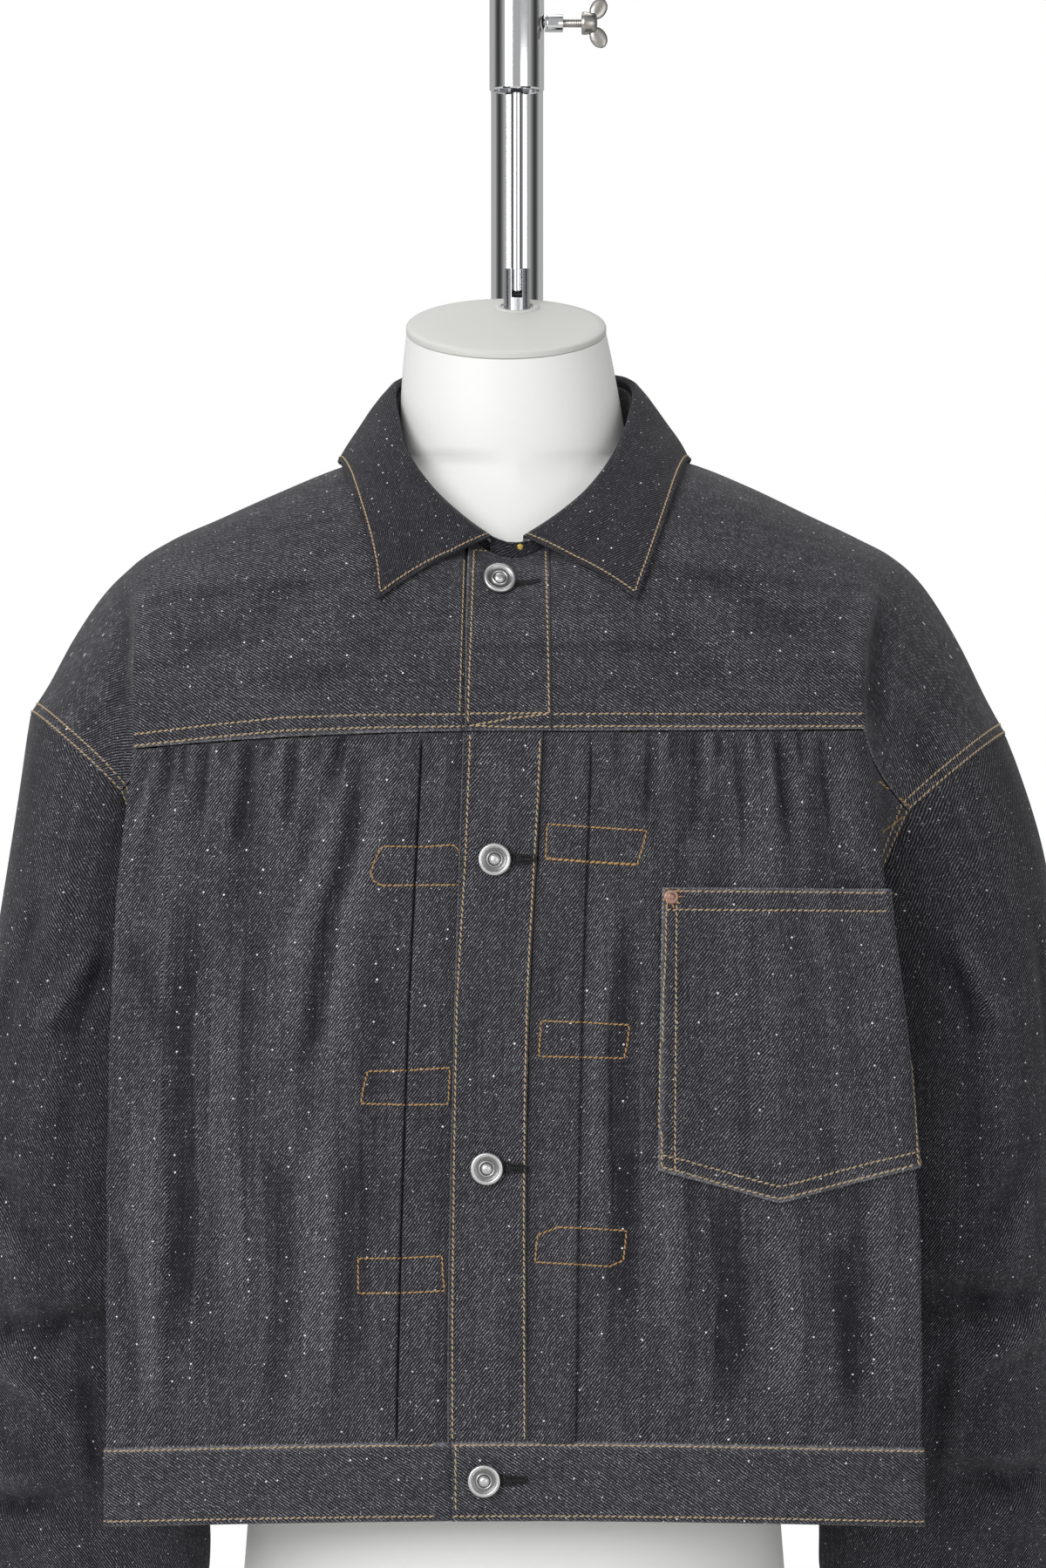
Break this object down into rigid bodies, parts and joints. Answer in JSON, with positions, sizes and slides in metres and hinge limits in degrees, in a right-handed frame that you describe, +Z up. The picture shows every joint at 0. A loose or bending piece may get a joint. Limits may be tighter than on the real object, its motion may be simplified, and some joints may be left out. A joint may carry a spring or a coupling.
{
  "type": "denim jacket on a hanging dress form and stand",
  "caption": "Boxy buttoned denim jacket with a pointed collar and a chest pocket, on a limbless dress form that hangs from a cane-shaped stand.",
  "frame": {"origin": "on the floor under the stand's base, below the middle of the shoulders", "axes": "+Z up, the jacket's front towards -Y, the wearer's left towards +X"},
  "size_m": [0.6773, 0.4192, 1.3935],
  "materials": {
    "denim": "heavy raw indigo twill",
    "button_metal": "silver-grey stamped metal",
    "copper": "dull copper",
    "form_white": "smooth matt white",
    "cap_grey": "satin light grey",
    "chrome": "polished chrome plate",
    "steel": "plain turned steel",
    "dark_steel": "dark pin"
  },
  "bodies": {
    "stand": {"base_plate": "chrome", "cane_tube": "chrome", "post_collar": "chrome", "screw_boss": "chrome"},
    "clamp_screw": {"wing_screw": "steel"},
    "slider": {"slide_plug": "steel"},
    "hung": {"front_right": "denim", "front_left": "denim", "yoke_right": "denim", "yoke_left": "denim", "placket_upper": "denim", "placket_lower": "denim", "back": "denim", "sleeve_right": "denim", "sleeve_left": "denim", "cuff_right": "denim", "cuff_left": "denim", "waistband": "denim", "collar": "denim", "neckband": "denim", "pocket": "denim", "button_1": "button_metal", "button_2": "button_metal", "button_3": "button_metal", "button_4": "button_metal", "cuff_button_right": "button_metal", "cuff_button_left": "button_metal", "rivet_inner": "copper", "rivet_outer": "copper", "dress_form": "form_white", "neck_cap": "cap_grey", "socket": "steel", "cross_pin": "dark_steel", "hanger_rod": "chrome"}
  },
  "joints": [
    {"name": "wing_screw_turn", "type": "hinge", "parent": "stand", "child": "clamp_screw", "pos_m": [0.0445, 0.037, 1.1726], "axis": [1, 0, 0], "continuous": true},
    {"name": "height_slide", "type": "slide", "parent": "stand", "child": "slider", "axis": [0, 0, 1], "range_m": [-0.07, 0.03]},
    {"name": "rod_swivel", "type": "hinge", "parent": "slider", "child": "hung", "pos_m": [0.0015, 0.037, 1.2], "axis": [0, 0, 1], "range_deg": [-20, 20]}
  ]
}
